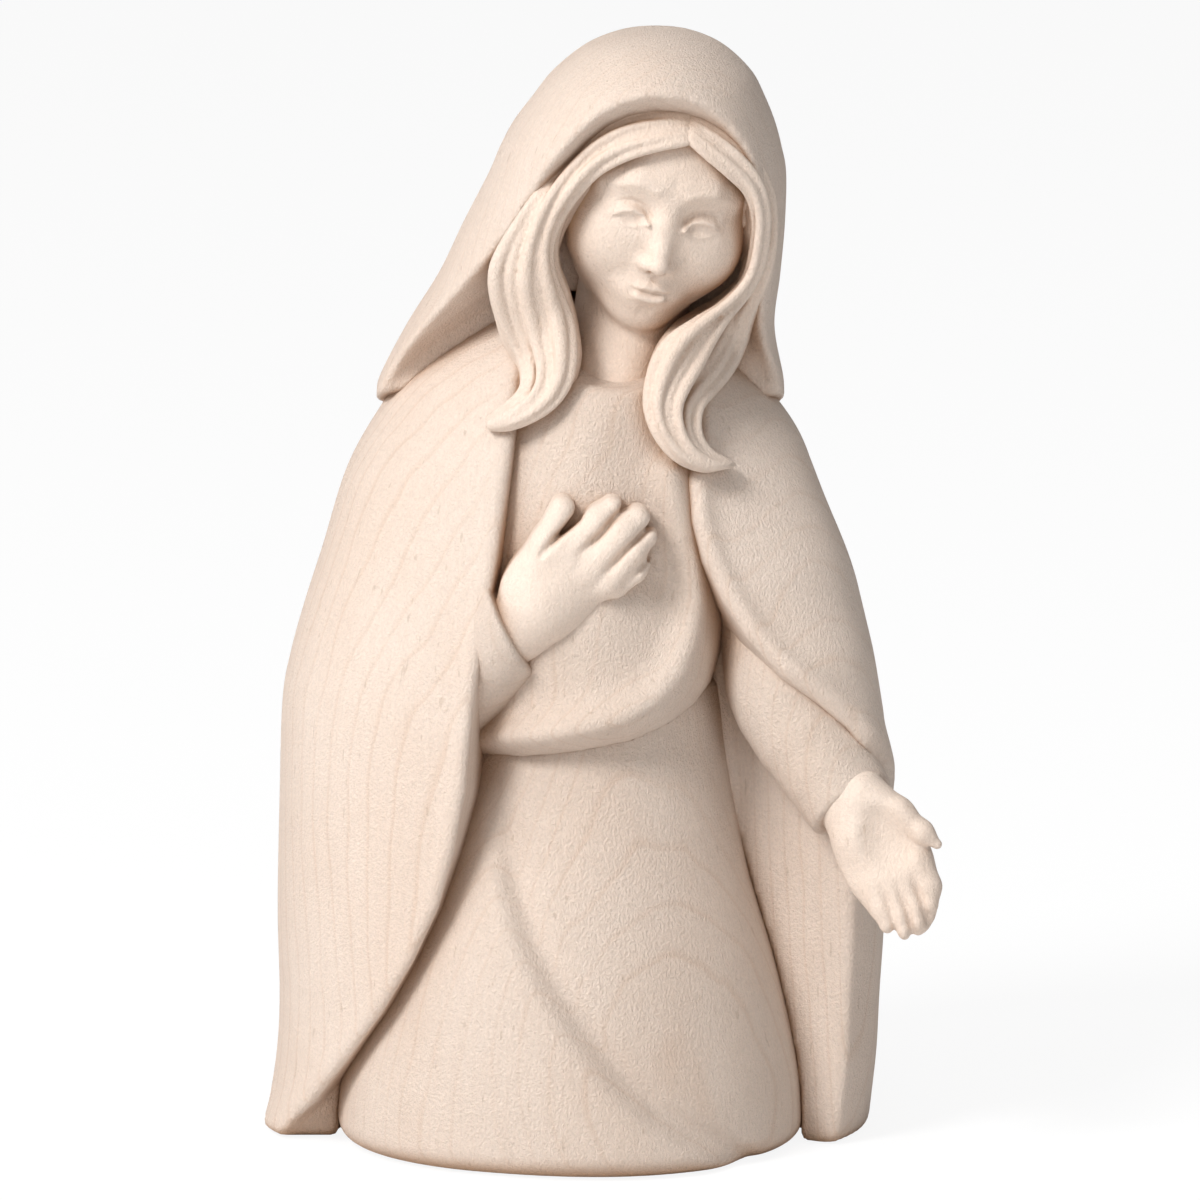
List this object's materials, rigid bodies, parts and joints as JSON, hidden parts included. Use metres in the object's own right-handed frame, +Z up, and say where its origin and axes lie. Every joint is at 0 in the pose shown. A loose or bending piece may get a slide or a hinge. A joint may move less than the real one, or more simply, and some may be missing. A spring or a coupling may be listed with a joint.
{
  "type": "madonna statue",
  "caption": "Small kneeling madonna figure in pale carved wood, veil and open cloak over a gown, one hand on the chest and one held out low, on a flat base.",
  "frame": {"origin": "point on the flat underside of the figure, under the middle of the cloak", "axes": "+Z up; the figure looks along -Y and its left hand is held out towards +X"},
  "size_m": [0.0602, 0.0496, 0.1],
  "materials": {
    "mantle_wood": "pale natural maple, finely sanded, unvarnished",
    "veil_wood": "pale natural maple, finely sanded, unvarnished",
    "gown_wood": "pale natural maple, finely sanded, unvarnished",
    "skin_wood": "pale natural maple, finely sanded, unvarnished",
    "hair_wood": "pale natural maple, carved in grooves",
    "dowel_wood": "turned beech, glued"
  },
  "bodies": {
    "root": {"mantle": "mantle_wood", "veil": "veil_wood", "skirt": "gown_wood", "bodice": "gown_wood", "sleeve_right": "gown_wood", "sleeve_left": "gown_wood", "head": "skin_wood", "hand_right": "skin_wood", "hand_left": "skin_wood", "hair_crown": "hair_wood", "hair_fall_right": "hair_wood", "hair_fall_left": "hair_wood", "waist_dowel": "dowel_wood", "neck_dowel": "dowel_wood", "wrist_dowel_right": "dowel_wood", "wrist_dowel_left": "dowel_wood"}
  },
  "joints": []
}
